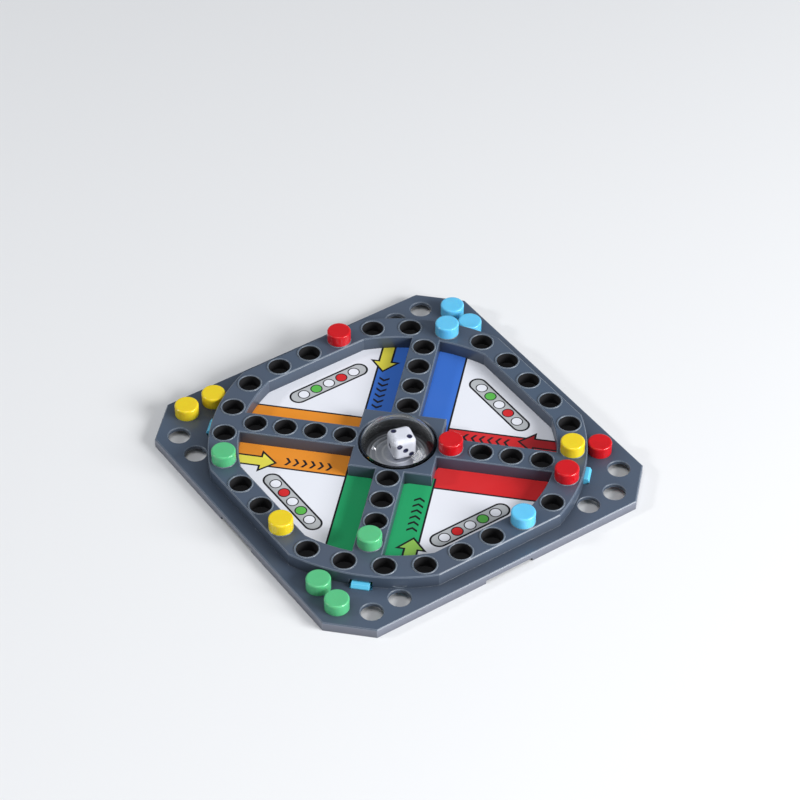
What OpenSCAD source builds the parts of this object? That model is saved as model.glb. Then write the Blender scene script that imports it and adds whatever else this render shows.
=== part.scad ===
// Travel size pop up dice board game, millimetres.
// A dark moulded board with a raised peg track snaps onto a light blue base plate. A printed card lies
// between the two, and a clear dome over a metal snap disc holds the die. Sixteen pegs stand in the holes.
// The origin is on the table under the middle of the board, +Z is up, and the four corners with the
// home holes lie on the diagonals of X and Y.

/* [Board] */
// Width of the flange beside the track's flats
side_margin = 5.1; // [4.4:0.1:12]
// Width of the flange beyond the track at the corners
corner_margin = 17.75; // [17:0.25:21]
// Height of the flange's top face over the table
flange_h = 3.4; // [3.2:0.1:6]
// Thickness of the flange plate
flange_t = 1.3; // [1:0.1:1.4]
// Thickness of the moulding's side walls and of the skirt
wall_t = 1.3; // [1:0.05:1.5]
// Chamfer along the moulding's top edges
edge_c = 0.3; // [0.1:0.05:0.4]
// Length of the finger notch in the middle of each side of the skirt
notch_w = 18; // [8:0.2:24]
// Height of the finger notch
notch_h = 1.2; // [0.6:0.1:1.8]

/* [Track] */
// Height of the track's top face over the flange
track_h = 4.7; // [4.5:0.1:8]
// How far the track's flats are set in from its round corners
track_inset = 4.6; // [3.6:0.2:5.6]
// Width of the track at the corners
track_corner_w = 10; // [9.6:0.1:11.5]
// Width of the track along the flats
track_side_w = 9; // [8.8:0.1:10]
// Number of sockets round the track
track_count = 28; // [20:4:28]
// Thickness of the track's top wall
top_t = 1.4; // [1:0.1:1.6]

/* [Arms] */
// Width of each arm of the cross
arm_w = 9.6; // [9:0.1:10.6]
// Sockets in each arm
arm_count = 4; // [2:1:4]
// Distance between the sockets of an arm
arm_pitch = 10; // [9.6:0.1:11]
// Distance from the platform's edge to an arm's first socket
arm_start = 3.8; // [3.8:0.1:5]
// Distance from an arm's last socket to the track's inner edge
arm_end = 4.4; // [4.2:0.1:5.4]
// Width of the platform's rim outside the opening
platform_rim = 0.8; // [0.6:0.1:1.6]

/* [Holes] */
// Radius of every peg hole
hole_r = 3.6; // [3.2:0.05:3.7]
// Height of the raised lip round each track socket
lip_h = 0.25; // [0.2:0.05:0.6]
// Width of the lip's flat top
lip_w = 0.4; // [0.3:0.05:0.5]
// Thickness of a socket's floor
socket_floor_t = 0.6; // [0.5:0.1:1]
// Thickness of a socket's own wall
socket_wall_t = 1; // [0.8:0.1:1.2]
// Distance from the home holes to the board's edges
home_edge = 7.5; // [7.2:0.1:7.9]

/* [Pegs] */
// Radius of a peg's head
peg_head_r = 4; // [3.9:0.05:4.3]
// Height of a peg's head
peg_head_h = 4.1; // [3:0.1:8]
// Length of a peg's stem
peg_stem_l = 3; // [2:0.1:3.1]
// Radius of the hollow up the middle of a peg
peg_hollow_r = 2.2; // [1.5:0.1:2.6]
// How far the hollow reaches up into the head
peg_hollow_h = 1.6; // [0.4:0.1:2]
// Rounding of the head's top edge
peg_round = 0.6; // [0.2:0.1:1]

/* [Card and base plate] */
// Thickness of the printed card
card_t = 0.3; // [0.2:0.05:0.5]
// Depth of the card's face under the flange's top face
card_drop = 0.1; // [0:0.05:0.3]
// Thickness of the base plate
plate_t = 1.2; // [1:0.1:1.3]
// Height of the base plate's ribs and lugs over the table
plate_clear = 0.6; // [0.5:0.1:0.9]
// Thickness of the base plate's ribs
rib_t = 1.2; // [0.8:0.1:2]
// Width of a snap tab
tab_w = 5.8; // [4:0.2:8]
// Thickness of a snap tab
tab_t = 1.8; // [1.2:0.1:2]
// How far a snap tab stands out past the track
tab_reach = 1.1; // [0.8:0.1:1.4]
// Height of a snap tab over the flange
tab_rise = 1.5; // [1:0.1:2]
// How far a snap tab's barb reaches over the flange
barb = 0.4; // [0.2:0.05:0.5]

/* [Popper] */
// Radius of the clear dome
dome_r = 12.4; // [11:0.1:14]
// Thickness of the clear dome
dome_t = 0.9; // [0.7:0.1:1.1]
// Height of the dome over the track's top face
dome_h = 7.4; // [7:0.1:10]
// Thickness of the square flange that holds the dome in
dome_flange_t = 1; // [0.8:0.1:1.4]
// How far the dome travels when it is pressed
press_travel = 1; // [0.5:0.1:1]
// Thickness of the snap disc
disc_t = 0.3; // [0.2:0.05:0.4]
// Rise of the disc's crown over its rim
disc_crown = 0.75; // [0.5:0.05:1]
// Width of the disc's flat rim
disc_rim_w = 1.8; // [1.5:0.1:2.6]
// Thickness of the well's floor under the disc
well_t = 1.1; // [0.8:0.1:1.1]
// Width of the die
die_w = 8; // [7:0.1:8.4]
// How far the ball that trims the die's corners reaches past its faces
die_trim = 1.5; // [1.2:0.05:1.8]
// Radius of a pip
pip_r = 0.8; // [0.5:0.05:1]
// Distance from the middle of a face to its outer pips
pip_pitch = 2; // [1.6:0.05:2.3]

/* [Hidden] */
$fn = 96;

// Clearances
cut = 1;             // how far a cutting solid runs past the face that it cuts
fit_gap = 0.2;       // between the base plate and the walls round it
stem_gap = 0.1;      // between a peg's stem and its hole
dome_gap = 0.3;      // between the dome and the walls that it slides in
press_gap = 0.05;    // between parts that rest on each other in the popper
barb_gap = 0.05;     // between a barb and the flange under it
slot_gap = 0.8;      // round a snap tab in its slot, room for it to bend
head_gap = 0.15;     // between the nearest home peg's head and the track's wall
disc_gap = 0.1;      // between the snap disc's edge and the dome's outer face
seat_room = 0.1;     // left under the dome's foot when it is pressed, with the disc flat
lug_gap = 0.1;       // between a tab's lug and the flange over it
lip_slope = 0.1;     // how much wider a lip is at its foot
arm_c = 0.25;        // chamfer along the arms, a little smaller than the track's
hole_c = 0.2;        // chamfer at the mouth of a hole
stem_c = 0.3;        // chamfer at the foot of a stem
weld = 0.01;         // overlap of two solids that are one piece

// Levels over the table
top_z = flange_h + track_h;
under_z = flange_h - flange_t;
card_z = flange_h - card_drop;
plate_z = card_z - card_t;
lug_z = under_z - lug_gap;
plate_under_z = plate_z - plate_t;
socket_z = card_z + socket_floor_t;

// Plan from the dome outwards: the track is a circle cut by four flats, and the board comes out 125 wide
// over its sides and 159.5 over its corners
opening_r = dome_r + 2 * dome_gap;
half_platform = opening_r + platform_rim;
arm_first = half_platform + arm_start;
window_r = arm_first + (arm_count - 1) * arm_pitch + arm_end;
track_r = window_r + track_corner_w;
track_flat = track_r - track_inset;
window_flat = track_flat - track_side_w;
half_w = track_flat + side_margin;
half_corner = track_r + corner_margin;
ring_r = track_r - track_corner_w / 2;
ring_flat = track_flat - track_side_w / 2;
plate_r = track_r - wall_t - fit_gap;
plate_flat = track_flat - wall_t - fit_gap;

// Popper, from the base plate up
well_r = dome_r + dome_gap;
well_under_z = 0.4;
well_floor_z = well_under_z + well_t;
seat_z = well_floor_z + press_travel + seat_room;
seat_w = 1;
seat_out = 0.4;
disc_r = dome_r - disc_gap;
disc_crown_r = disc_r - disc_rim_w;
seat_out_r = disc_crown_r + seat_out;
disc_rim_z = seat_z + disc_t;
dome_foot_z = disc_rim_z + press_gap;
dome_flange_z = top_z - top_t - dome_flange_t;
dome_flange_half = half_platform - wall_t - dome_gap;
dome_flange_trim = 1.2;
dome_flange_r = dome_flange_half * sqrt(2) - dome_flange_trim;
dome_ball_r = (dome_r * dome_r + dome_h * dome_h) / (2 * dome_h);
dome_ball_z = top_z + dome_h - dome_ball_r;
disc_ball_r = (disc_crown_r * disc_crown_r + disc_crown * disc_crown) / (2 * disc_crown);
die_ball_r = die_w / 2 + die_trim;
die_z = disc_rim_z + disc_crown + press_gap + die_w / 2;
die_out = 0.9;
die_turn = -14.5;

// Snap tabs: their barbs hook over the outer edge of slots at the foot of the track
tab_out = track_r + tab_reach;
tab_in = tab_out - tab_t;
slot_out = tab_out + fit_gap;
slot_in = tab_in - slot_gap;
tab_z = flange_h + tab_rise;
barb_t = 0.4;
lug_side = 2;
lug_reach = 1.6;
lug_root = 7;
lug_w = tab_w + 2 * lug_side;
lug_out = slot_out + lug_reach;
lug_in = plate_r - lug_root;
rib_count = 8;

corners = [45, 135, 225, 315];

// Places of the holes, as [x, y, height of the face round the hole]
function track_angle(k) = 45 - (k - 2.5) * 360 / track_count;
function off_axis(a) = abs((a + 765) % 90 - 45);
function track_reach(a) = min(ring_r, ring_flat / cos(off_axis(a)));
function track_spot(k) =
  let (a = track_angle(k))
  [track_reach(a) * cos(a), track_reach(a) * sin(a), top_z + lip_h];
function arm_spot(a, k) =
  let (d = arm_first + k * arm_pitch)
  [d * cos(a), d * sin(a), top_z + lip_h];
// Home holes stand in from the side, either by the corner's edge (k = 1) or beside the track (k = 0)
home_line = half_w - home_edge;
home_by_edge = (half_corner - home_edge) * sqrt(2) - home_line;
home_by_track = sqrt(pow(track_r + peg_head_r + head_gap, 2) - home_line * home_line);
function home_spot(sx, sy, k, along_y) =
  let (d = k == 1 ? home_by_edge : home_by_track)
  along_y ? [sx * home_line, sy * d, flange_h] : [sx * d, sy * home_line, flange_h];

track_spots = [for (k = [1:track_count]) track_spot(k)];
arm_spots = [for (a = corners) for (k = [0:arm_count - 1]) arm_spot(a, k)];
home_spots = [
  for (sx = [-1, 1]) for (sy = [-1, 1]) for (k = [0, 1]) for (y = [false, true])
    home_spot(sx, sy, k, y)
];

// A long bar along Y with chamfered top edges
module bar(half, z0, z1, c) {
  rotate([90, 0, 0])
    linear_extrude(4 * half_corner, center = true)
      polygon([[-half, z0], [half, z0], [half, z1 - c], [half - c, z1], [c - half, z1], [-half, z1 - c]]);
}

// A slot along Y whose top edges flare
module flared_bar(half, z0, z1, c) {
  rotate([90, 0, 0])
    linear_extrude(4 * half_corner, center = true)
      polygon([
        [-half, z0], [half, z0], [half, z1 - c], [half + c + cut, z1 + cut],
        [-half - c - cut, z1 + cut], [-half, z1 - c]
      ]);
}

// The track's plan as a block: a round cut by four flats, chamfered along the top
module track_block(r, flat, z0, z1, c) {
  intersection() {
    rotate_extrude() polygon([[0, z0], [r, z0], [r, z1 - c], [r - c, z1], [0, z1]]);
    bar(flat, z0, z1, c);
    rotate(90) bar(flat, z0, z1, c);
  }
}

// The space inside the track, flared along the top
module window_block() {
  intersection() {
    rotate_extrude()
      polygon([
        [0, 0], [window_r, 0], [window_r, top_z - edge_c],
        [window_r + edge_c + cut, top_z + cut], [0, top_z + cut]
      ]);
    flared_bar(window_flat, 0, top_z, edge_c);
    rotate(90) flared_bar(window_flat, 0, top_z, edge_c);
  }
}

// The board's plan as a block: a square with its corners cut off
module board_block(inset, z0, z1, c) {
  intersection() {
    bar(half_w - inset, z0, z1, c);
    rotate(90) bar(half_w - inset, z0, z1, c);
    rotate(45) bar(half_corner - inset, z0, z1, c);
    rotate(135) bar(half_corner - inset, z0, z1, c);
  }
}

// A disc or a hole at each of the given places
module at_spots(spots) {
  for (p = spots) translate([p[0], p[1], 0]) children();
}

// Flange plate with its skirt, open inside the track's outer wall
module flange() {
  difference() {
    board_block(0, 0, flange_h, edge_c);
    board_block(wall_t, -cut, under_z, 0);
    track_block(track_r - wall_t, track_flat - wall_t, -cut, top_z, 0);
  }
  difference() {
    track_block(track_r, track_flat, under_z, card_z + wall_t, 0);
    track_block(track_r - wall_t, track_flat - wall_t, -cut, top_z, 0);
  }
}

// Ring, cross and platform in one, standing on the card
module track_mass() {
  difference() {
    track_block(track_r, track_flat, card_z, top_z, edge_c);
    difference() {
      window_block();
      for (a = [45, 135]) rotate(a) bar(arm_w / 2, -cut, top_z, arm_c);
      intersection() {
        rotate(45) bar(half_platform, -cut, top_z, edge_c);
        rotate(135) bar(half_platform, -cut, top_z, edge_c);
      }
    }
  }
}

// The hollow of the ring from below, with the sockets' walls left standing
module ring_hollow() {
  difference() {
    track_block(track_r - wall_t, track_flat - wall_t, card_z - cut, top_z - top_t, 0);
    track_block(window_r + wall_t, window_flat + wall_t, card_z - 2 * cut, top_z, 0);
    at_spots(track_spots) cylinder(r = hole_r + socket_wall_t, h = top_z);
    at_spots(arm_spots) cylinder(r = hole_r + socket_wall_t, h = top_z);
  }
}

// Raised lip round the mouth of a track socket
module lip() {
  translate([0, 0, top_z - cut])
    cylinder(r = hole_r + lip_w + lip_slope, h = cut);
  translate([0, 0, top_z])
    cylinder(r1 = hole_r + lip_w + lip_slope, r2 = hole_r + lip_w, h = lip_h);
}

// Bore with a chamfered mouth at the given height
module peg_bore(z0, mouth_z) {
  translate([0, 0, z0]) cylinder(r = hole_r, h = mouth_z + cut - z0);
  translate([0, 0, mouth_z - hole_c])
    cylinder(r1 = hole_r, r2 = hole_r + hole_c + cut, h = hole_c + cut);
}

// Hollow of the platform for the dome's square flange, and the opening over it
module popper_room() {
  rotate(45)
    translate([wall_t - half_platform, wall_t - half_platform, card_z - cut])
      cube([2 * (half_platform - wall_t), 2 * (half_platform - wall_t), top_z - top_t - card_z + cut]);
  translate([0, 0, card_z - cut]) cylinder(r = opening_r, h = track_h + 2 * cut);
  translate([0, 0, top_z - edge_c])
    cylinder(r1 = opening_r, r2 = opening_r + edge_c + cut, h = edge_c + cut);
}

// Slot for a snap tab, cut up into the foot of the track's wall
module tab_slot() {
  translate([slot_in, -tab_w / 2 - slot_gap, under_z - cut])
    cube([slot_out - slot_in, tab_w + 2 * slot_gap, tab_z + slot_gap - under_z + cut]);
}

module board_frame() {
  color("#4b5564") difference() {
    union() {
      flange();
      track_mass();
      at_spots(track_spots) lip();
      at_spots(arm_spots) lip();
    }
    ring_hollow();
    popper_room();
    at_spots(track_spots) peg_bore(socket_z, top_z + lip_h);
    at_spots(arm_spots) peg_bore(socket_z, top_z + lip_h);
    at_spots(home_spots) peg_bore(-cut, flange_h);
    for (a = corners) rotate(a) tab_slot();
    for (a = [0:90:270]) rotate(a)
      translate([half_w - 2 * wall_t, -notch_w / 2, -cut])
        cube([3 * wall_t, notch_w, notch_h + cut]);
  }
}

// Snap tab on its lug, drawn along +X
module snap_tab() {
  translate([lug_in, -lug_w / 2, plate_clear])
    cube([lug_out - lug_in, lug_w, lug_z - plate_clear]);
  rotate([90, 0, 0])
    linear_extrude(tab_w, center = true)
      polygon([
        [tab_in, plate_clear], [tab_out, plate_clear],
        [tab_out, flange_h + barb_gap], [slot_out + barb, flange_h + barb_gap],
        [slot_out + barb, flange_h + barb_gap + barb_t], [tab_out, tab_z], [tab_in, tab_z]
      ]);
}

module base_plate() {
  color("#5fc3ef") {
    difference() {
      union() {
        track_block(plate_r, plate_flat, plate_under_z, plate_z, 0);
        difference() {
          track_block(plate_r, plate_flat, plate_clear, plate_z, 0);
          track_block(plate_r - rib_t, plate_flat - rib_t, 0, plate_z, 0);
        }
        for (k = [0:rib_count - 1]) rotate(k * 360 / rib_count)
          translate([well_r, -rib_t / 2, plate_clear])
            cube([plate_flat - well_r - rib_t / 2, rib_t, plate_z - plate_clear]);
        translate([0, 0, well_under_z]) cylinder(r = well_r + plate_t, h = plate_z - well_under_z);
        for (a = corners) rotate(a) snap_tab();
      }
      translate([0, 0, well_floor_z]) cylinder(r = well_r, h = plate_z);
    }
    difference() {
      translate([0, 0, well_under_z]) cylinder(r = seat_out_r, h = seat_z - well_under_z);
      translate([0, 0, well_floor_z]) cylinder(r = seat_out_r - seat_w, h = seat_z);
    }
  }
}

module game_card() {
  color("#f2f2f4") difference() {
    track_block(plate_r, plate_flat, plate_z, card_z, 0);
    translate([0, 0, plate_z - cut]) cylinder(r = well_r, h = card_t + 2 * cut);
  }
}

module dome() {
  color("#dfe8ee", 0.35) difference() {
    union() {
      intersection() {
        translate([0, 0, dome_ball_z]) sphere(r = dome_ball_r);
        translate([0, 0, dome_foot_z]) cylinder(r = dome_r, h = top_z + dome_h);
      }
      intersection() {
        rotate(45)
          translate([-dome_flange_half, -dome_flange_half, dome_flange_z])
            cube([2 * dome_flange_half, 2 * dome_flange_half, dome_flange_t]);
        translate([0, 0, dome_flange_z]) cylinder(r = dome_flange_r, h = dome_flange_t);
      }
    }
    intersection() {
      translate([0, 0, dome_ball_z]) sphere(r = dome_ball_r - dome_t);
      translate([0, 0, dome_foot_z - cut]) cylinder(r = dome_r - dome_t, h = top_z + dome_h);
    }
  }
}

module snap_disc() {
  color("#c4c8cc") {
    difference() {
      translate([0, 0, seat_z]) cylinder(r = disc_r, h = disc_t);
      translate([0, 0, seat_z - cut]) cylinder(r = disc_crown_r, h = disc_t + 2 * cut);
    }
    intersection() {
      difference() {
        translate([0, 0, disc_rim_z + disc_crown - disc_ball_r]) sphere(r = disc_ball_r);
        translate([0, 0, seat_z + disc_crown - disc_ball_r]) sphere(r = disc_ball_r);
      }
      translate([0, 0, seat_z]) cylinder(r = disc_crown_r + weld, h = disc_crown + disc_t);
    }
  }
}

// Places of the pips of a face, as [x, y] in steps of the pitch
pips = [
  [[0, 0]],
  [[-1, -1], [1, 1]],
  [[-1, -1], [0, 0], [1, 1]],
  [[-1, -1], [-1, 1], [1, -1], [1, 1]],
  [[-1, -1], [-1, 1], [0, 0], [1, -1], [1, 1]],
  [[-1, -1], [-1, 0], [-1, 1], [1, -1], [1, 0], [1, 1]]
];
// The turn that takes the top to the side where each number stands; opposite faces add up to seven
faces = [[0, -90, 0], [0, 0, 90], [0, -90, 90], [-90, 0, 0], [180, 0, 0], [0, 90, 0]];

module die() {
  color("white")
    translate([die_out, -die_out, die_z]) rotate(die_turn)
      difference() {
        intersection() {
          cube(die_w, center = true);
          sphere(r = die_ball_r);
        }
        for (f = [0:5]) rotate(faces[f])
          for (p = pips[f])
            translate([p[0] * pip_pitch, p[1] * pip_pitch, die_w / 2 + pip_r * 0.6])
              sphere(r = pip_r * sqrt(1.36), $fn = 32);
      }
}

// A peg whose head stands on the face round its hole
module peg(spot) {
  translate(spot) difference() {
    union() {
      cylinder(r = peg_head_r, h = peg_head_h - peg_round);
      cylinder(r = peg_head_r - peg_round, h = peg_head_h);
      translate([0, 0, peg_head_h - peg_round])
        rotate_extrude() translate([peg_head_r - peg_round, 0]) circle(r = peg_round, $fn = 32);
      translate([0, 0, -peg_stem_l + stem_c]) cylinder(r = hole_r - stem_gap, h = peg_stem_l);
      translate([0, 0, -peg_stem_l])
        cylinder(r1 = hole_r - stem_gap - stem_c, r2 = hole_r - stem_gap, h = stem_c);
    }
    translate([0, 0, -peg_stem_l - cut]) cylinder(r = peg_hollow_r, h = peg_stem_l + cut + peg_hollow_h);
  }
}

module peg_yellow_1() { color("#f2dc34") peg(home_spot(-1, 1, 1, false)); }
module peg_yellow_2() { color("#f2dc34") peg(home_spot(-1, 1, 0, false)); }
module peg_yellow_3() { color("#f2dc34") peg(track_spot(9)); }
module peg_yellow_4() { color("#f2dc34") peg(track_spot(19)); }
module peg_red_1() { color("#dc1e24") peg(home_spot(1, -1, 0, true)); }
module peg_red_2() { color("#dc1e24") peg(arm_spot(corners[3], 0)); }
module peg_red_3() { color("#dc1e24") peg(track_spot(10)); }
module peg_red_4() { color("#dc1e24") peg(track_spot(track_count)); }
module peg_blue_1() { color("#5cc3f5") peg(home_spot(1, 1, 1, true)); }
module peg_blue_2() { color("#5cc3f5") peg(home_spot(1, 1, 0, true)); }
module peg_blue_3() { color("#5cc3f5") peg(track_spot(3)); }
module peg_blue_4() { color("#5cc3f5") peg(track_spot(12)); }
module peg_green_1() { color("#5ccc8c") peg(home_spot(-1, -1, 1, true)); }
module peg_green_2() { color("#5ccc8c") peg(home_spot(-1, -1, 0, true)); }
module peg_green_3() { color("#5ccc8c") peg(track_spot(22)); }
module peg_green_4() { color("#5ccc8c") peg(arm_spot(corners[2], arm_count - 1)); }

board_frame();
base_plate();
game_card();
dome();
snap_disc();
die();
peg_yellow_1();
peg_yellow_2();
peg_yellow_3();
peg_yellow_4();
peg_red_1();
peg_red_2();
peg_red_3();
peg_red_4();
peg_blue_1();
peg_blue_2();
peg_blue_3();
peg_blue_4();
peg_green_1();
peg_green_2();
peg_green_3();
peg_green_4();
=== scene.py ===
import math

import bmesh
import bpy
import numpy as np
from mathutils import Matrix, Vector


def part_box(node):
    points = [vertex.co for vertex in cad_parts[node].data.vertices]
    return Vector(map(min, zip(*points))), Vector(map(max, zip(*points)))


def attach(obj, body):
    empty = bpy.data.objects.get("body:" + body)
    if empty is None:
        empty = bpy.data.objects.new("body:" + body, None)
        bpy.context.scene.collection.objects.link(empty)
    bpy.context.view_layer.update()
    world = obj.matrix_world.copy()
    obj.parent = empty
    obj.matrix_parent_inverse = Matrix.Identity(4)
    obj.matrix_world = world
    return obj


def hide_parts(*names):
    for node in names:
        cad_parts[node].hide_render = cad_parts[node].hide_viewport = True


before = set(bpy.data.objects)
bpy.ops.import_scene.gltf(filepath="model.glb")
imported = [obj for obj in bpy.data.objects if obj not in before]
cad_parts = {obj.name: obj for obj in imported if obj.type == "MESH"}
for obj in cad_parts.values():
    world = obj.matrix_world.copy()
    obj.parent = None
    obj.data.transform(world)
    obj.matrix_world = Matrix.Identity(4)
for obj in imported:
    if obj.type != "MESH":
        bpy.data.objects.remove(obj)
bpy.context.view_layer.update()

mm = 0.001
halfRoot = math.sqrt(0.5)    # the arms of the cross lie on the diagonals of X and Y
edgeGain = 5                 # how fast the edge mask, and with it the painted edge highlight, comes up towards an edge

photoView = {
    "azimuth": 34.35,        # degrees from +Y towards +X that the camera looks
    "elevation": 42.28,      # degrees that it looks down
    "distance": 0.9666,
    "lookAt": (0.0120, 0.0162, 0.0081),
    "lens": 131.16,
    "sensor": 36,
    "clip": (0.05, 20),
}


def makeCamera(s):
    turn, tilt = math.radians(s["azimuth"]), math.radians(s["elevation"])
    forward = Vector((math.sin(turn) * math.cos(tilt), math.cos(turn) * math.cos(tilt), -math.sin(tilt)))
    data = bpy.data.cameras.new("photoCamera")
    data.lens, data.sensor_width = s["lens"], s["sensor"]
    data.clip_start, data.clip_end = s["clip"]
    camera = bpy.data.objects.new("photoCamera", data)
    camera.location = Vector(s["lookAt"]) - forward * s["distance"]
    camera.rotation_euler = forward.to_track_quat("-Z", "Y").to_euler()
    bpy.context.collection.objects.link(camera)
    bpy.context.scene.camera = camera


makeCamera(photoView)
print("camera ready")


class Sock:
    # A number's socket. Its operators add Math nodes, so masks are written as plain sums.
    def __init__(self, finish, link):
        self.finish, self.link = finish, link

    def maths(self, operation, *values):
        outputs = self.finish.add("Math", {"operation": operation}, dict(enumerate(values)))
        return Sock(self.finish, outputs[0])

    def __add__(self, other):
        return self.maths("ADD", self, other)

    def __radd__(self, other):
        return self.maths("ADD", other, self)

    def __sub__(self, other):
        return self.maths("SUBTRACT", self, other)

    def __rsub__(self, other):
        return self.maths("SUBTRACT", other, self)

    def __mul__(self, other):
        return self.maths("MULTIPLY", self, other)

    def __rmul__(self, other):
        return self.maths("MULTIPLY", other, self)

    def __truediv__(self, other):
        return self.maths("DIVIDE", self, other)

    def __neg__(self):
        return self.maths("MULTIPLY", self, -1)

    def __abs__(self):
        return self.maths("ABSOLUTE", self)

    def low(self, other):
        return self.maths("MINIMUM", self, other)

    def high(self, other):
        return self.maths("MAXIMUM", self, other)

    def floor(self):
        return self.maths("FLOOR", self)

    def sign(self):
        return self.maths("SIGN", self)

    def sine(self):
        return self.maths("SINE", self)

    def root(self):
        return self.maths("SQRT", self)

    def hypot(self, other):
        # The long side of a right triangle with these two short ones
        return (self * self + other * other).root()

    def inside(self, edge, soft):
        # 1 where the value is under the edge and 0 where it is over, blended over the width soft
        return ((edge - self) / soft + 0.5).high(0).low(1)

    def over(self, edge, soft):
        # 1 where the value is over the edge and 0 where it is under, blended over the width soft
        return ((self - edge) / soft + 0.5).high(0).low(1)


class Finish:
    # One material and its nodes
    def __init__(self, name):
        self.material = bpy.data.materials.new(name)
        self.material.use_nodes = True
        self.nodes, self.links = self.material.node_tree.nodes, self.material.node_tree.links
        self.shader = next(n for n in self.nodes if n.type == "BSDF_PRINCIPLED")
        self.output = next(n for n in self.nodes if n.type == "OUTPUT_MATERIAL")

    def add(self, kind, settings=None, inputs=None):
        # A node of the given type: its settings first, then the values or links of its sockets
        node = self.nodes.new("ShaderNode" + kind)
        for key, value in (settings or {}).items():
            setattr(node, key, value)
        for key, value in (inputs or {}).items():
            self.feed(node.inputs[key], value)
        return node.outputs

    def feed(self, socket, value):
        if isinstance(value, Sock):
            value = value.link
        if isinstance(value, bpy.types.NodeSocket):
            self.links.new(value, socket)
        elif isinstance(value, tuple) and len(value) == 3 and len(socket.default_value) == 4:
            socket.default_value = (*value, 1)
        else:
            socket.default_value = value

    def set(self, **values):
        # The shader's own sockets, by their names without spaces
        names = {s.name.replace(" ", ""): s for s in self.shader.inputs}
        for key, value in values.items():
            self.feed(names[key], value)

    def place(self):
        # The surface point as a vector and as X, Y and Z in metres
        here = self.add("TexCoord")["Object"]
        apart = self.add("SeparateXYZ", inputs={0: here})
        return here, [Sock(self, apart[k]) for k in range(3)]

    def noise(self, here, scale, detail=3, rough=0.5):
        inputs = {"Vector": here, "Scale": scale, "Detail": detail, "Roughness": rough}
        return Sock(self, self.add("TexNoise", inputs=inputs)[0])

    def dot(self, first, second):
        outputs = self.add("VectorMath", {"operation": "DOT_PRODUCT"}, {0: first, 1: second})
        return Sock(self, outputs["Value"])

    def mix(self, amount, first, second):
        # Sockets 6 and 7 of a Mix node are its two colours, and output 2 is the mixed one
        return self.add("Mix", {"data_type": "RGBA"}, {0: amount, 6: first, 7: second})[2]

    def mixVectors(self, amount, first, second):
        # Sockets 4 and 5 of a Mix node are its two vectors, and output 1 is the mixed one
        return self.add("Mix", {"data_type": "VECTOR"}, {0: amount, 4: first, 5: second})[1]

    def bump(self, height, distance, strength, normal=None):
        inputs = {"Height": height, "Distance": distance, "Strength": strength}
        if normal is not None:
            inputs["Normal"] = normal
        return self.add("Bump", inputs=inputs)[0]

    def mouldGrain(self, here, grain, normal=None):
        # The fine texture that a mould leaves on plastic: its noise, and the normal with it pressed in
        noise = self.noise(here, grain["scale"], detail=2)
        return noise, self.bump(noise, grain["height"], grain["strength"], normal)

    def softEdge(self, radius):
        # The normal with every edge rounded by the radius, and how near an edge the point lies, 0 to 1
        rounded = self.add("Bevel", {"samples": 6}, {"Radius": radius})[0]
        flat = self.add("NewGeometry")["Normal"]
        return rounded, ((1 - self.dot(rounded, flat)) * edgeGain).high(0).low(1)

    def openness(self, reach):
        # How much of the sky is open within the reach: 1 on a flat, about a half at the foot of a wall
        return Sock(self, self.add("AmbientOcclusion", {"samples": 8}, {"Distance": reach})["AO"])


def shade(colour, factor):
    return tuple(factor * c for c in colour)


def giveFinish(obj, material):
    obj.data.materials.clear()
    obj.data.materials.append(material)


framePlastic = {
    "colour": (0.067, 0.106, 0.166),
    "warmColour": (0.080, 0.096, 0.134),
    "edgeColour": (0.50, 0.57, 0.63),
    "edgeShare": 0.9,
    "edgeRadius": 0.26 * mm,
    "edgeSky": {"edge": 0.62, "soft": 0.16},  # the painted edge highlight shows only where more sky is open
    "deepColour": (0.007, 0.007, 0.009),
    "deepShare": 0.9,
    "deepReach": 6 * mm,
    "cloud": {"scale": 30},
    "smear": {"scale": 260, "detail": 4, "rough": 0.6},
    "grain": {"scale": 5200, "height": 0.004 * mm, "strength": 0.35},
    "roughness": {"plain": 0.33, "smear": 0.10, "grain": 0.05, "edge": -0.08, "hole": 0.4},
    # in millimetres: the skirt is the wall beyond side and corner, below its top. It is painted lighter as
    # painted light and reflection from the side lamp and the floor
    "skirt": {
        "side": 62.3, "corner": 79.5, "soft": 0.2, "top": 3.1, "topSoft": 0.3,
        "colour": (0.34, 0.35, 0.42), "share": 0.5,
    },
    # in millimetres: radius of the holes, the levels between which they are painted dark as shade, the row
    # along an arm, and the track's holes in the eighth of the board between an axis and a diagonal
    "hole": {
        "radius": 3.68, "from": 3.6, "to": 8.12, "soft": 0.1,
        "armFirst": 17.6, "armPitch": 10, "armCount": 4,
        "track": [(52.9, 0), (52.9, 12.07), (51.36, 24.73), (44.56, 35.54)],
    },
}


def holeMask(s, far, near, level):
    # 1 on the walls and the floor of a socket. gap is how far the middle of the nearest one is: in the
    # arm's row first, where out runs along the arm and step counts its holes, and then on the track.
    out, side = (far + near) * halfRoot, (far - near) * halfRoot
    step = ((out - s["armFirst"]) / s["armPitch"] + 0.5).floor().high(0).low(s["armCount"] - 1)
    gap = (out - s["armFirst"] - step * s["armPitch"]).hypot(side)
    for trackFar, trackNear in s["track"]:
        gap = gap.low((far - trackFar).hypot(near - trackNear))
    deep = level.inside(s["to"], s["soft"]) * level.over(s["from"], s["soft"])
    return gap.inside(s["radius"], s["soft"]) * deep


def skirtMask(s, far, near, level):
    # 1 on the outermost wall of the board, which is cut off at its corners, and 0 above its top
    beyond = (far - s["side"]).high((far + near) * halfRoot - s["corner"])
    return beyond.over(0, s["soft"]) * level.inside(s["top"], s["topSoft"])


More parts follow.
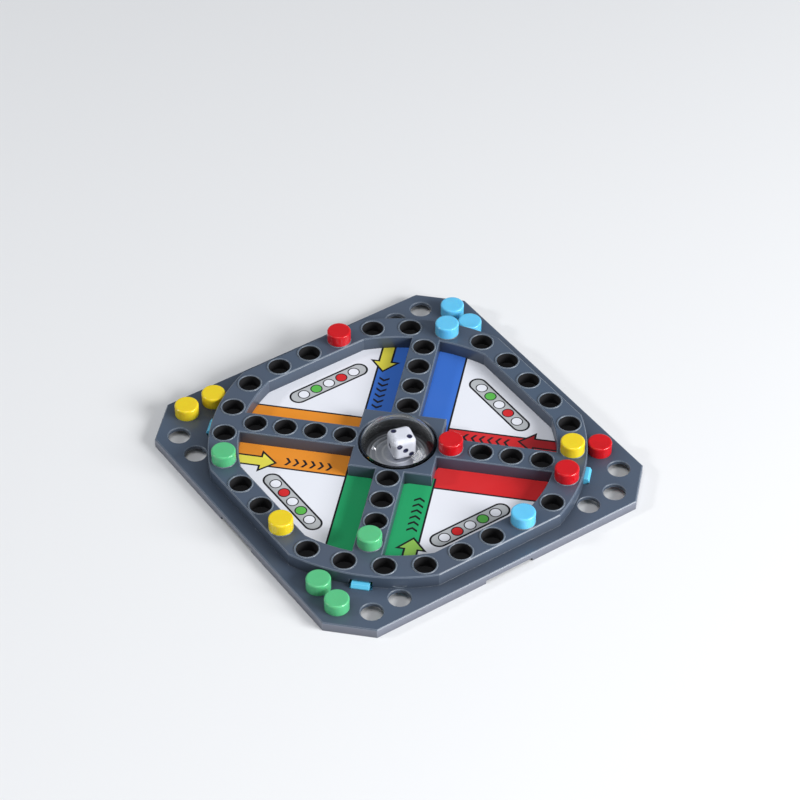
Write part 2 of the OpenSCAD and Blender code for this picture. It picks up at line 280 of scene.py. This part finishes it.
def makeFramePlastic(s):
    # Dark slate plastic: slow clouds of a warmer tone, a painted highlight along edges, fine grain and faint
    # smears.
    # Its holes and the corners between walls are painted dark as shade, the outer wall is painted lighter as
    # a reflection, and only outer edges get the painted highlight.
    # Folded over the axes and the diagonals, the board is one eighth, where far is the larger of X and Y
    # and near is the smaller.
    f = Finish("framePlastic")
    here, (x, y, z) = f.place()
    across, along, level = abs(x) / mm, abs(y) / mm, z / mm
    far, near = across.high(along), across.low(along)
    hole = holeMask(s["hole"], far, near, level)
    skirt = skirtMask(s["skirt"], far, near, level)
    sky = f.openness(s["deepReach"])
    rounded, edge = f.softEdge(s["edgeRadius"])
    # painted highlight: the edges are painted lighter where more sky is open
    edge = edge * sky.over(**s["edgeSky"])
    # painted shade: the holes, and corners where little sky is open, are painted near black
    deep = hole.high((1 - sky) * s["deepShare"])
    smear = f.noise(here, **s["smear"])
    grain, normal = f.mouldGrain(here, s["grain"], rounded)
    colour = f.mix(f.noise(here, **s["cloud"]), s["warmColour"], s["colour"])
    # painted light: the outer wall is painted lighter, standing for the side lamp and the floor mirrored in
    # it
    colour = f.mix(skirt * s["skirt"]["share"], colour, s["skirt"]["colour"])
    colour = f.mix(deep, colour, s["deepColour"])
    rough = s["roughness"]
    uneven = rough["smear"] * (smear - 0.5) + rough["grain"] * (grain - 0.5)
    f.set(
        BaseColor=f.mix(edge * s["edgeShare"], colour, s["edgeColour"]),
        Roughness=rough["plain"] + uneven + rough["edge"] * edge + rough["hole"] * hole,
        Normal=normal,
    )
    return f.material


giveFinish(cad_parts["board_frame"], makeFramePlastic(framePlastic))
print("board moulding finished")


platePlastic = {
    "colour": (0.125, 0.60, 0.90),
    "cloud": {"scale": 60},
    "cloudShade": 0.9,
    "edgeColour": (0.50, 0.84, 0.97),
    "edgeShare": 0.7,
    "edgeRadius": 0.15 * mm,
    "wellColour": (0.012, 0.013, 0.016),
    "wellRadius": 14.5 * mm,
    "wellFrom": 0.7 * mm,    # the level above which the well is painted dark as shade
    "wellSoft": 0.1 * mm,
    "roughness": {"plain": 0.30, "cloud": 0.08, "well": 0.2},
    "grain": {"scale": 4200, "height": 0.004 * mm, "strength": 0.3},
}


def makePlatePlastic(s):
    # Light blue plastic, with painted shade on the floor of the well under the dome and a painted highlight
    # along its edges
    f = Finish("platePlastic")
    here, (x, y, z) = f.place()
    rounded, edge = f.softEdge(s["edgeRadius"])
    cloud = f.noise(here, **s["cloud"])
    # painted shade: the floor of the well under the dome is dark
    well = x.hypot(y).inside(s["wellRadius"], s["wellSoft"]) * z.over(s["wellFrom"], s["wellSoft"])
    colour = f.mix(cloud, s["colour"], shade(s["colour"], s["cloudShade"]))
    # painted highlight: the edges are painted lighter
    colour = f.mix(edge * s["edgeShare"], colour, s["edgeColour"])
    rough = s["roughness"]
    f.set(
        BaseColor=f.mix(well, colour, s["wellColour"]),
        Roughness=rough["plain"] + rough["cloud"] * (cloud - 0.5) + rough["well"] * well,
        Normal=f.mouldGrain(here, s["grain"], rounded)[1],
    )
    return f.material


giveFinish(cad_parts["base_plate"], makePlatePlastic(platePlastic))
print("base plate finished")


# a length without a unit is in millimetres
cardPrint = {
    "paper": (0.79, 0.81, 0.88),
    "ink": (0.004, 0.004, 0.006),
    "soft": 0.06,            # width over which a printed edge blends
    "outline": 0.68,         # width of the black line around an arrow or a capsule
    "well": 15.2,            # inside this radius, under the platform, the card is painted dark as shade
    "band": {"from": 10, "half": 14.4, "lineHalf": 0.33},
    "arrow": {"at": 12.4, "shaft": 1.8, "head": 3.7, "tip": 38.7, "neck": 42.9},
    "chevrons": {
        "from": 18.6, "count": 6, "pitch": 2.75, "middle": 11.1,
        "half": 1.75, "width": 0.95, "slope": 0.7, "endSoft": 0.01,
    },
    # for each arm its bands' colour and the arrow's
    "arms": {
        "right": ((0.62, 0.014, 0.016), (0.40, 0.010, 0.014)),
        "top": ((0.036, 0.155, 0.60), (0.78, 0.71, 0.07)),
        "left": ((0.78, 0.265, 0.016), (0.80, 0.73, 0.08)),
        "bottom": ((0.013, 0.36, 0.13), (0.27, 0.52, 0.09)),
    },
    "capsule": {"at": 41.0, "half": 12.0, "radius": 2.5, "fill": (0.46, 0.48, 0.50)},
    "discs": {
        "count": 5, "pitch": 5.0, "radius": 1.7, "outline": 0.38,
        "fills": {1: (0.62, 0.014, 0.016), 3: (0.10, 0.46, 0.07)},    # the others are paper white
    },
    "fibre": {"scale": 2400, "detail": 4, "rough": 0.6},
    "wave": {"scale": 45},
    "waveColour": (0.70, 0.72, 0.80),
    "waveShare": 0.04,
    "roughness": {"plain": 0.50, "fibre": 0.12},
    "shine": 0.08,
    "relief": {"fibre": 0.3, "height": 0.02 * mm, "strength": 0.25},
}


def printShape(f, s, colour, shape, fill, outline):
    # shape is the distance to the shape's edge, below 0 inside it
    colour = f.mix(shape.inside(outline, s["soft"]), colour, s["ink"])
    return f.mix(shape.inside(0, s["soft"]), colour, fill)


def printBands(f, s, colour, out, side, fill):
    # One colour to each side of the arm, with a black line along the outer edges
    band = s["band"]
    beyond = out.over(band["from"], s["soft"])
    colour = f.mix(beyond * abs(side).inside(band["half"], s["soft"]), colour, fill)
    line = abs(abs(side) - band["half"]).inside(band["lineHalf"], s["soft"])
    return f.mix(beyond * line, colour, s["ink"])


def printArrow(f, s, colour, out, side, fill):
    # A shaft joined to a head, whose sides slope in from the neck to the tip
    arrow = s["arrow"]
    slope = arrow["head"] / (arrow["neck"] - arrow["tip"])
    away = abs(side - arrow["at"])
    head = ((away - (out - arrow["tip"]) * slope) / math.hypot(1, slope)).high(out - arrow["neck"])
    shaft = (away - arrow["shaft"]).high(arrow["neck"] - s["outline"] - out)
    return printShape(f, s, colour, head.low(shaft), fill, s["outline"])


def printChevrons(f, s, colour, out, side):
    # A row of whole chevrons that point along the home stretch. run counts them from the inner end.
    row = s["chevrons"]
    across = abs(side - row["middle"])
    run = (out - row["from"] - across * row["slope"]) / row["pitch"]
    stroke = (abs(run - run.floor() - 0.5) * row["pitch"]).inside(row["width"] / 2, s["soft"])
    inRow = abs(run - row["count"] / 2).inside(row["count"] / 2, row["endSoft"])
    return f.mix(stroke * across.inside(row["half"], s["soft"]) * inRow, colour, s["ink"])


def printCapsule(f, s, colour, out, side):
    # A capsule with a row of discs, along one side of the board
    capsule, discs = s["capsule"], s["discs"]
    level = out - capsule["at"]
    shape = (abs(side) - capsule["half"]).high(0).hypot(level) - capsule["radius"]
    colour = printShape(f, s, colour, shape, capsule["fill"], s["outline"])
    for k in range(discs["count"]):
        middle = (k - (discs["count"] - 1) / 2) * discs["pitch"]
        shape = (side - middle).hypot(level) - discs["radius"]
        colour = printShape(f, s, colour, shape, discs["fills"].get(k, s["paper"]), discs["outline"])
    return colour


def makeCardPrint(s):
    # Each mask is the distance to a printed shape, turned into 0 or 1 at the shape's edge. For a mark on
    # an arm or along a side, out is the distance from the middle and side the distance to the left of it.
    f = Finish("cardPrint")
    here, (x, y, _) = f.place()
    x, y = x / mm, y / mm
    right, top = (x - y) * halfRoot, (x + y) * halfRoot
    arms = {"right": (right, top), "top": (top, -right), "left": (-right, -top), "bottom": (-top, right)}
    colour = s["paper"]
    for name, (out, side) in arms.items():
        bandColour, arrowColour = s["arms"][name]
        colour = printBands(f, s, colour, out, side, bandColour)
        colour = printArrow(f, s, colour, out, side, arrowColour)
        colour = printChevrons(f, s, colour, out, side)
    for out, side in ((x, y), (y, -x), (-x, -y), (-y, x)):
        colour = printCapsule(f, s, colour, out, side)
    # painted shade: dark inside the well under the platform
    colour = f.mix(x.hypot(y).inside(s["well"], s["soft"]), colour, s["ink"])
    fibre, wave = f.noise(here, **s["fibre"]), f.noise(here, **s["wave"])
    rough, relief = s["roughness"], s["relief"]
    f.set(
        BaseColor=f.mix(s["waveShare"] * wave, colour, s["waveColour"]),
        Roughness=rough["plain"] + rough["fibre"] * (fibre - 0.5),
        SpecularIORLevel=s["shine"],
        Normal=f.bump(fibre * relief["fibre"] + wave, relief["height"], relief["strength"]),
    )
    return f.material


giveFinish(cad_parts["game_card"], makeCardPrint(cardPrint))
print("card printed")


# a length without a unit is in millimetres
discSteel = {
    "colour": (0.76, 0.78, 0.84),
    "smear": {"scale": 300, "detail": 4, "rough": 0.6},
    "smearShade": 0.6,
    "crestColour": (0.98, 0.98, 1.0),
    "rimColour": (0.015, 0.016, 0.018),
    "crown": {"edge": 9.9, "soft": 0.9},      # where the bright crown ends and the rim painted dark as shade begins
    "rings": (9.0, 7.2, 5.0),
    "ringWidth": 0.55,
    "turning": {"rate": 11, "height": 0.03},  # turning marks: radians in a millimetre, height beside a ring's
    "roughness": {"plain": 0.412, "smear": 0.12, "ring": -0.12},
    "relief": {"height": 0.10 * mm, "strength": 0.8},
}


def makeDiscSteel(s):
    # Spring steel with pressed rings, each a soft ridge at its own radius, and a rim painted dark as shade
    f = Finish("discSteel")
    here, (x, y, _) = f.place()
    reach = x.hypot(y) / mm
    press = sum((1 - abs(reach - radius) / s["ringWidth"]).high(0) for radius in s["rings"])
    turned = (reach * s["turning"]["rate"]).sine() * s["turning"]["height"]
    smear = f.noise(here, **s["smear"])
    # painted shade: beyond the crown the rim is dark and not metallic
    crown = reach.inside(**s["crown"])
    steel = f.mix(smear, s["colour"], shade(s["colour"], s["smearShade"]))
    rough, relief = s["roughness"], s["relief"]
    f.set(
        BaseColor=f.mix(crown, s["rimColour"], f.mix(press, steel, s["crestColour"])),
        Metallic=crown,
        Roughness=rough["plain"] + rough["smear"] * (smear - 0.5) + rough["ring"] * press,
        Normal=f.bump(press + turned, relief["height"], relief["strength"]),
    )
    return f.material


giveFinish(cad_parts["snap_disc"], makeDiscSteel(discSteel))
print("snap disc finished")


clearPlastic = {
    "colour": (0.985, 0.99, 1.0),
    "slantColour": (0.40, 0.42, 0.45),
    "slant": {"edge": 0.74, "soft": 0.32},    # on a scale from 0, seen straight on, to 1, seen along it
    "footColour": (0.012, 0.013, 0.015),
    "footTop": 8.0 * mm,     # below this level the wall is hidden in the platform and painted dark as shade
    "shadeColour": (0.97, 0.975, 0.98),
    "ior": 1.45,
    "glossTint": (0.28, 0.28, 0.30),
    "roughness": {"plain": 0.03, "scuff": 0.03},
    "scuff": {"scale": 900, "detail": 4, "rough": 0.7},
    "ripple": {"scale": 90},
    "relief": {"height": 0.04 * mm, "strength": 0.08},
    "ballLevel": 1.41 * mm,  # middle of the ball that the cap is cut from
    "capFrom": 8.3 * mm,
    "levelSoft": 0.1 * mm,
}


def capNormal(f, s, here, z):
    # On the cap the direction from the ball's middle, turned to the side that is seen, so that it
    # shines as one smooth curve, and below it the facet's own normal
    facet = f.add("NewGeometry")["Normal"]
    spoke = f.add("VectorMath", {"operation": "SUBTRACT"}, {0: here, 1: (0, 0, s["ballLevel"])})[0]
    spoke = f.add("VectorMath", {"operation": "NORMALIZE"}, {0: spoke})[0]
    side = f.dot(spoke, facet).sign()
    spoke = f.add("VectorMath", {"operation": "SCALE"}, {0: spoke, "Scale": side})[0]
    return f.mixVectors(z.over(s["capFrom"], s["levelSoft"]), facet, spoke)


def makeClearPlastic(s):
    # Clear plastic, darker where it is seen along its wall. Light on its way between a lamp and the
    # pieces inside passes it unbent, and so does what another piece mirrors. Only what is seen through
    # it is bent.
    f = Finish("clearPlastic")
    here, (_, _, z) = f.place()
    facing = Sock(f, f.add("LayerWeight")["Facing"])
    clear = f.mix(facing.over(**s["slant"]), s["colour"], s["slantColour"])
    rough, relief = s["roughness"], s["relief"]
    ripple = f.noise(here, **s["ripple"])
    f.set(
        # painted shade: the wall below the platform's top is dark
        BaseColor=f.mix(z.inside(s["footTop"], s["levelSoft"]), clear, s["footColour"]),
        TransmissionWeight=1.0,
        IOR=s["ior"],
        Roughness=rough["plain"] + rough["scuff"] * f.noise(here, **s["scuff"]),
        SpecularTint=s["glossTint"],
        Normal=f.bump(ripple, relief["height"], relief["strength"], capNormal(f, s, here, z)),
    )
    path = f.add("LightPath")
    mirrored = Sock(f, path["Is Glossy Ray"]) * (1 - Sock(f, path["Is Transmission Ray"]))
    unbent = mirrored.high(path["Is Shadow Ray"]).high(path["Is Diffuse Ray"])
    through = f.add("BsdfTransparent", inputs={"Color": s["shadeColour"]})[0]
    surface = f.add("MixShader", inputs={0: unbent, 1: f.shader.outputs[0], 2: through})[0]
    f.feed(f.output.inputs["Surface"], surface)
    return f.material


giveFinish(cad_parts["dome"], makeClearPlastic(clearPlastic))
print("dome finished")


# a length without a unit is in millimetres
whiteDie = {
    "size": 8.0,
    "rounding": 1.85,
    "turn": -14.5,           # degrees about Z
    "pipPitch": 2.0,
    "pipRadius": 0.88,
    "pipDepth": 0.30,
    "paintRadius": 0.924,    # the paint goes a little past the hollow
    "paintSoft": 0.12,
    "steps": 72,
    "swing": 72,             # degrees to each side, of the angles whose sines place the grid's lines
    "merge": 0.002,
    "colour": (0.76, 0.775, 0.85),
    "pipColour": (0.010, 0.012, 0.050),
    "cloud": {"scale": 300},
    "cloudShade": 0.95,
    "roughness": {"plain": 0.30, "cloud": 0.1, "pip": 0.12},
    "grain": {"scale": 2600, "height": 0.004 * mm, "strength": 0.2},
}
pipPlaces = {
    1: [(0, 0)],
    2: [(-1, 1), (1, -1)],
    3: [(-1, 1), (0, 0), (1, -1)],
    4: [(-1, -1), (-1, 1), (1, -1), (1, 1)],
    5: [(-1, -1), (-1, 1), (0, 0), (1, -1), (1, 1)],
    6: [(-1, -1), (-1, 0), (-1, 1), (1, -1), (1, 0), (1, 1)],
}
# for each number the ways its face's X, Y and outward directions point on the die
dieSides = {
    1: ((0, -1, 0), (0, 0, 1), (-1, 0, 0)),
    2: ((1, 0, 0), (0, 1, 0), (0, 0, 1)),
    3: ((1, 0, 0), (0, 0, 1), (0, -1, 0)),
    4: ((-1, 0, 0), (0, 0, 1), (0, 1, 0)),
    5: ((1, 0, 0), (0, -1, 0), (0, 0, -1)),
    6: ((0, 1, 0), (0, 0, 1), (1, 0, 0)),
}


def meshFromGrids(name, grids, values, merge):
    # Quads between the neighbours of each grid, from one table of point numbers for each grid.
    # Rims of grids that meet are merged, and values holds one number for each point.
    points, faces, base = [], [], 0
    for grid in grids:
        rows, columns = grid.shape[:2]
        index = np.arange(rows * columns).reshape(rows, columns) + base
        quads = np.stack([index[:-1, :-1], index[1:, :-1], index[1:, 1:], index[:-1, 1:]], -1)
        points.append(grid.reshape(-1, 3))
        faces.append(quads.reshape(-1, 4))
        base += rows * columns
    mesh = bpy.data.meshes.new(name)
    mesh.from_pydata(np.concatenate(points).tolist(), [], np.concatenate(faces).tolist())
    for key, numbers in values.items():
        layer = mesh.attributes.new(key, "FLOAT", "POINT")
        layer.data.foreach_set("value", np.concatenate([n.ravel() for n in numbers]).astype(np.float32))
    edit = bmesh.new()
    edit.from_mesh(mesh)
    bmesh.ops.remove_doubles(edit, verts=edit.verts, dist=merge)
    bmesh.ops.recalc_face_normals(edit, faces=edit.faces)
    edit.to_mesh(mesh)
    edit.free()
    mesh.polygons.foreach_set("use_smooth", np.ones(len(mesh.polygons), dtype=bool))
    obj = bpy.data.objects.new(name, mesh)
    bpy.context.collection.objects.link(obj)
    return obj


def dieFace(s, pips):
    # A point of a flat grid over a cube's face goes to the nearest point of a smaller cube and out from
    # there by the rounding, so edges are quarter rounds. The grid's lines lie at the sines of even
    # angles, closer towards the edges. A pip sinks as depth times 1 - (gap / radius) squared.
    half, swing = s["size"] / 2, math.radians(s["swing"])
    core = half - s["rounding"]
    line = np.sin(np.linspace(-swing, swing, s["steps"])) / math.sin(swing) * half
    u, v = np.meshgrid(line, line, indexing="ij")
    cube = np.stack([u, v, np.full_like(u, half)], -1)
    near = np.clip(cube, -core, core)
    away = cube - near
    points = near + away / np.linalg.norm(away, axis=-1, keepdims=True) * s["rounding"]
    paint = np.zeros_like(u)
    for across, up in pips:
        gap = np.hypot(points[..., 0] - across * s["pipPitch"], points[..., 1] - up * s["pipPitch"])
        points[..., 2] -= s["pipDepth"] * np.clip(1 - (gap / s["pipRadius"]) ** 2, 0, 1)
        paint = np.maximum(paint, np.clip((s["paintRadius"] - gap) / s["paintSoft"] + 0.5, 0, 1))
    return points, paint


def makeDie(s):
    low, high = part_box("die")
    turn = math.radians(s["turn"])
    cosine, sine = math.cos(turn), math.sin(turn)
    spin = np.array([[cosine, sine, 0], [-sine, cosine, 0], [0, 0, 1]])
    grids, paints = [], []
    for number, sides in dieSides.items():
        points, paint = dieFace(s, pipPlaces[number])
        grids.append(points @ np.array(sides, float) @ spin * mm + np.array((low + high) / 2))
        paints.append(paint)
    return meshFromGrids("dieBody", grids, {"pip": paints}, s["merge"] * mm)


def makeDiePlastic(s):
    f = Finish("diePlastic")
    here, _ = f.place()
    pip = Sock(f, f.add("Attribute", {"attribute_name": "pip"})["Fac"])
    cloud = f.noise(here, **s["cloud"])
    white = f.mix(cloud, s["colour"], shade(s["colour"], s["cloudShade"]))
    rough = s["roughness"]
    f.set(
        BaseColor=f.mix(pip, white, s["pipColour"]),
        Roughness=rough["plain"] + rough["cloud"] * (cloud - 0.5) + rough["pip"] * pip,
        Normal=f.mouldGrain(here, s["grain"])[1],
    )
    return f.material


die = makeDie(whiteDie)
giveFinish(die, makeDiePlastic(whiteDie))
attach(die, "die")
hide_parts("die")
print("die made")


pegPlastic = {
    "colours": {
        "yellow": (0.86, 0.66, 0.022),
        "red": (0.64, 0.008, 0.014),
        "blue": (0.145, 0.60, 0.92),
        "green": (0.115, 0.55, 0.25),
    },
    "countEach": 4,
    "cloud": {"scale": 220},
    "cloudShade": 0.9,
    "roughness": {"plain": 0.17, "cloud": 0.1},
    "glow": {"share": 0.5, "radius": (1.0, 0.7, 0.5), "depth": 1.2 * mm},    # light scattered inside
    "grain": {"scale": 3800, "height": 0.004 * mm, "strength": 0.3},
}


def makePegPlastic(s, name):
    # Glossy polystyrene: a slow change of tone, fine grain and a little light let through
    f = Finish(name + "PegPlastic")
    here, _ = f.place()
    colour, rough, glow = s["colours"][name], s["roughness"], s["glow"]
    cloud = f.noise(here, **s["cloud"])
    f.set(
        BaseColor=f.mix(cloud, colour, shade(colour, s["cloudShade"])),
        Roughness=rough["plain"] + rough["cloud"] * (cloud - 0.5),
        SubsurfaceWeight=glow["share"],
        SubsurfaceRadius=glow["radius"],
        SubsurfaceScale=glow["depth"],
        Normal=f.mouldGrain(here, s["grain"])[1],
    )
    return f.material


for colourName in pegPlastic["colours"]:
    plastic = makePegPlastic(pegPlastic, colourName)
    for number in range(1, pegPlastic["countEach"] + 1):
        giveFinish(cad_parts[f"peg_{colourName}_{number}"], plastic)
print("pegs finished")


studio = {
    "world": 0.22,
    "worldColour": (0.92, 0.96, 1.0),
    "floor": {
        "size": 6, "colour": (0.84, 0.85, 0.87), "cloud": {"scale": 3}, "cloudShade": 0.98, "roughness": 0.8,
    },
    # name: place, width, height, watts
    "lamps": {
        "sideSoftbox": ((0.53, -1.00, 0.53), 0.70, 0.45, 20.5),
        "leftSoftbox": ((-1.05, 0.55, 0.70), 0.16, 0.14, 4.2),
        "topSoftbox": ((-0.2, -0.2, 1.5), 0.8, 0.8, 5.8),
    },
}


def makeWorld(s):
    world = bpy.data.worlds.new("studioWorld")
    world.use_nodes = True
    background = world.node_tree.nodes["Background"]
    background.inputs["Color"].default_value = (*s["worldColour"], 1)
    background.inputs["Strength"].default_value = s["world"]
    bpy.context.scene.world = world


def makeLamps(s):
    # Softboxes that face the middle of the board
    for name, (place, width, height, watts) in s["lamps"].items():
        data = bpy.data.lights.new(name, "AREA")
        data.shape, data.size, data.size_y, data.energy = "RECTANGLE", width, height, watts
        lamp = bpy.data.objects.new(name, data)
        lamp.location = place
        lamp.rotation_euler = (-Vector(place)).to_track_quat("-Z", "Y").to_euler()
        bpy.context.collection.objects.link(lamp)


def makeFloor(s):
    bpy.ops.mesh.primitive_plane_add(size=s["size"], location=(0, 0, 0))
    floor = bpy.context.object
    floor.name = "studioFloor"
    f = Finish("floorPaper")
    here, _ = f.place()
    paper = f.mix(f.noise(here, **s["cloud"]), s["colour"], shade(s["colour"], s["cloudShade"]))
    f.set(BaseColor=paper, Roughness=s["roughness"])
    giveFinish(floor, f.material)


makeWorld(studio)
makeLamps(studio)
makeFloor(studio["floor"])
bpy.context.scene.view_settings.view_transform = "Standard"
print("studio ready")
